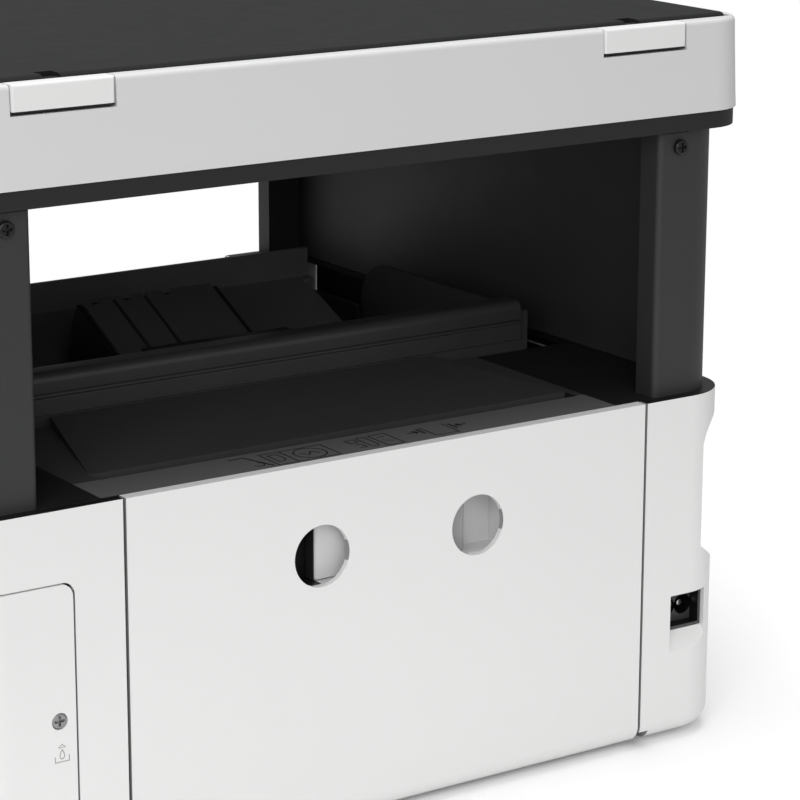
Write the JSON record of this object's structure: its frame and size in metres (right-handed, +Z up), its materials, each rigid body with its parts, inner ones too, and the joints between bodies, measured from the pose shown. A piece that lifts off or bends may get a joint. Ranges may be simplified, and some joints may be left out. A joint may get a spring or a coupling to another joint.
{
  "type": "inkjet printer",
  "caption": "Free-standing ink-tank inkjet printer with a flatbed scanner on top, an open neck with a rear feed slot, a front cassette and an output tray",
  "frame": {"origin": "on the floor at the centre of the footprint", "axes": "+Z up, -Y to the front with the control panel, +Y to the rear with the feed slot"},
  "size_m": [0.375, 0.347, 0.3076],
  "materials": {
    "white_shell": "fine moulded texture",
    "dark_shell": "fine moulded texture",
    "lip_grey": "satin",
    "black_plastic": "satin",
    "grey_latch": "satin",
    "zinc_steel": "zinc plated sheet",
    "rail_steel": "dark coated rail",
    "strap_plastic": "semi gloss",
    "black_screw": "black zinc",
    "roller_rubber": "ground rubber",
    "foot_rubber": "soft rubber",
    "gear_plastic": "natural acetal",
    "star_steel": "thin spring steel",
    "clear_film": "clear film",
    "tank_plastic": "milky polypropylene",
    "board_green": "solder mask",
    "flat_glass": "clear float glass",
    "sensor_black": "black with lens",
    "pad_white": "white film on foam",
    "display_glass": "dark display",
    "key_plastic": "satin key"
  },
  "bodies": {
    "casing": {"base_tray": "black_plastic", "rubber_feet": "foot_rubber", "left_side_shell": "white_shell", "right_side_shell": "white_shell", "front_fascia": "white_shell", "left_neck_pillar": "dark_shell", "right_neck_pillar": "dark_shell", "rear_feed_chute": "lip_grey", "main_frame": "zinc_steel", "carriage_rail": "rail_steel", "platen": "black_plastic", "cap_station": "black_plastic", "exit_frame": "black_plastic", "front_beam": "zinc_steel", "power_inlet": "black_plastic", "power_supply": "black_plastic", "main_board": "board_green", "maintenance_cover": "white_shell", "maintenance_box": "black_plastic", "phillips_screws": "black_screw", "carriage_motor": "zinc_steel", "feed_motor": "zinc_steel", "encoder_strip": "clear_film", "ink_tanks": "tank_plastic", "timing_belt": "foot_rubber"},
    "scanner_unit": {"scanner_base": "dark_shell", "scanner_frame": "white_shell", "scanner_glass": "flat_glass", "scan_rail": "zinc_steel", "lid_hinge_covers": "white_shell"},
    "scan_bar": {"scan_bar": "sensor_black"},
    "lid": {"document_lid": "dark_shell", "lid_pad": "pad_white"},
    "carriage": {"print_carriage": "black_plastic", "print_head": "black_plastic", "carriage_straps": "strap_plastic"},
    "cassette": {"cassette_tray": "white_shell"},
    "panel": {"control_panel": "dark_shell", "panel_display": "display_glass"},
    "drive_pulley": {"drive_pulley": "gear_plastic"},
    "idler_pulley": {"idler_pulley": "gear_plastic"},
    "feed_roller": {"feed_roller": "roller_rubber"},
    "exit_roller": {"exit_roller": "roller_rubber"},
    "star_wheels": {"star_wheels": "star_steel"},
    "pinch_rollers": {"pinch_rollers": "roller_rubber"},
    "motor_pinion": {"motor_pinion": "gear_plastic"},
    "idler_gear": {"idler_gear": "gear_plastic"},
    "left_edge_guide": {"left_edge_guide": "grey_latch"},
    "right_edge_guide": {"right_edge_guide": "grey_latch"},
    "guide_pinion": {"guide_pinion": "gear_plastic"},
    "end_guide": {"end_guide": "grey_latch"},
    "output_tray": {"output_tray": "dark_shell"},
    "output_extension": {"output_extension": "lip_grey"},
    "power_button": {"power_button": "key_plastic"},
    "start_button": {"start_button": "key_plastic"},
    "tank_cover": {"tank_cover": "dark_shell"},
    "rear_cover": {"rear_cover": "white_shell"},
    "left_latch": {"left_latch": "grey_latch"},
    "right_latch": {"right_latch": "grey_latch"},
    "duplex_roller": {"duplex_roller": "roller_rubber"}
  },
  "joints": [
    {"name": "scanner_hinge", "type": "hinge", "parent": "casing", "child": "scanner_unit", "pos_m": [0, 0.168, 0.2654], "axis": [-1, 0, 0], "range_deg": [0, 40]},
    {"name": "lid_hinge", "type": "hinge", "parent": "scanner_unit", "child": "lid", "pos_m": [0, 0.161, 0.3034], "axis": [-1, 0, 0], "range_deg": [0, 75]},
    {"name": "scan_slide", "type": "slide", "parent": "scanner_unit", "child": "scan_bar", "axis": [1, 0, 0], "range_m": [0, 0.28]},
    {"name": "carriage_slide", "type": "slide", "parent": "casing", "child": "carriage", "axis": [1, 0, 0], "range_m": [-0.104, 0.118]},
    {"name": "drive_pulley_turn", "type": "hinge", "parent": "casing", "child": "drive_pulley", "pos_m": [-0.136, 0.0485, 0.136], "axis": [0, 1, 0], "continuous": true},
    {"name": "idler_pulley_turn", "type": "hinge", "parent": "casing", "child": "idler_pulley", "pos_m": [0.136, 0.0485, 0.136], "axis": [0, 1, 0], "continuous": true},
    {"name": "feed_turn", "type": "hinge", "parent": "casing", "child": "feed_roller", "pos_m": [0, 0.053, 0.112], "axis": [1, 0, 0], "continuous": true},
    {"name": "exit_turn", "type": "hinge", "parent": "casing", "child": "exit_roller", "pos_m": [0, -0.04, 0.112], "axis": [1, 0, 0], "continuous": true},
    {"name": "star_turn", "type": "hinge", "parent": "casing", "child": "star_wheels", "pos_m": [0, -0.04, 0.1239], "axis": [1, 0, 0], "continuous": true},
    {"name": "pinch_turn", "type": "hinge", "parent": "casing", "child": "pinch_rollers", "pos_m": [0, 0.053, 0.1239], "axis": [1, 0, 0], "continuous": true},
    {"name": "pinion_turn", "type": "hinge", "parent": "casing", "child": "motor_pinion", "pos_m": [-0.154, 0.053, 0.085], "axis": [1, 0, 0], "continuous": true},
    {"name": "idler_gear_turn", "type": "hinge", "parent": "casing", "child": "idler_gear", "pos_m": [-0.154, 0.0065, 0.112], "axis": [1, 0, 0], "continuous": true},
    {"name": "cassette_slide", "type": "slide", "parent": "casing", "child": "cassette", "axis": [0, -1, 0], "range_m": [0, 0.2]},
    {"name": "left_guide_slide", "type": "slide", "parent": "cassette", "child": "left_edge_guide", "axis": [1, 0, 0], "range_m": [0, 0.048]},
    {"name": "right_guide_slide", "type": "slide", "parent": "cassette", "child": "right_edge_guide", "axis": [-1, 0, 0], "range_m": [0, 0.048]},
    {"name": "guide_pinion_turn", "type": "hinge", "parent": "cassette", "child": "guide_pinion", "pos_m": [0, 0.02, 0.015], "axis": [0, 0, 1], "range_deg": [-350, 0]},
    {"name": "end_guide_slide", "type": "slide", "parent": "cassette", "child": "end_guide", "axis": [0, 1, 0], "range_m": [0, 0.085]},
    {"name": "output_slide", "type": "slide", "parent": "casing", "child": "output_tray", "axis": [0, -1, 0], "range_m": [0, 0.1]},
    {"name": "extension_slide", "type": "slide", "parent": "output_tray", "child": "output_extension", "axis": [0, -1, 0], "range_m": [0, 0.085]},
    {"name": "panel_tilt", "type": "hinge", "parent": "casing", "child": "panel", "pos_m": [0, -0.1635, 0.252], "axis": [-1, 0, 0], "range_deg": [0, 45]},
    {"name": "power_press", "type": "slide", "parent": "panel", "child": "power_button", "axis": [0, 1, 0], "range_m": [0, 0.0015], "stiffness_N_per_m": 300},
    {"name": "start_press", "type": "slide", "parent": "panel", "child": "start_button", "axis": [0, 1, 0], "range_m": [0, 0.0015], "stiffness_N_per_m": 300},
    {"name": "tank_cover_hinge", "type": "hinge", "parent": "casing", "child": "tank_cover", "pos_m": [0.1625, -0.0693, 0.153], "axis": [-1, 0, 0], "range_deg": [0, 75]},
    {"name": "rear_cover_lift", "type": "slide", "parent": "casing", "child": "rear_cover", "axis": [0, 1, 0], "range_m": [0, 0.06]},
    {"name": "left_latch_press", "type": "slide", "parent": "rear_cover", "child": "left_latch", "axis": [1, 0, 0], "range_m": [0, 0.004], "stiffness_N_per_m": 300},
    {"name": "right_latch_press", "type": "slide", "parent": "rear_cover", "child": "right_latch", "axis": [-1, 0, 0], "range_m": [0, 0.004], "stiffness_N_per_m": 300},
    {"name": "duplex_turn", "type": "hinge", "parent": "rear_cover", "child": "duplex_roller", "pos_m": [0, 0.151, 0.07], "axis": [1, 0, 0], "continuous": true}
  ],
  "couplings": [
    {"joint": "drive_pulley_turn", "follows": "carriage_slide", "rad_per_m": 158.73},
    {"joint": "idler_pulley_turn", "follows": "carriage_slide", "rad_per_m": 158.73},
    {"joint": "exit_turn", "follows": "feed_turn", "ratio": 1},
    {"joint": "star_turn", "follows": "feed_turn", "ratio": -1.875},
    {"joint": "pinch_turn", "follows": "feed_turn", "ratio": -1.875},
    {"joint": "pinion_turn", "follows": "feed_turn", "ratio": -2.8571},
    {"joint": "idler_gear_turn", "follows": "feed_turn", "ratio": -0.75472},
    {"joint": "right_guide_slide", "follows": "left_guide_slide", "ratio": 1},
    {"joint": "guide_pinion_turn", "follows": "left_guide_slide", "rad_per_m": -125}
  ]
}
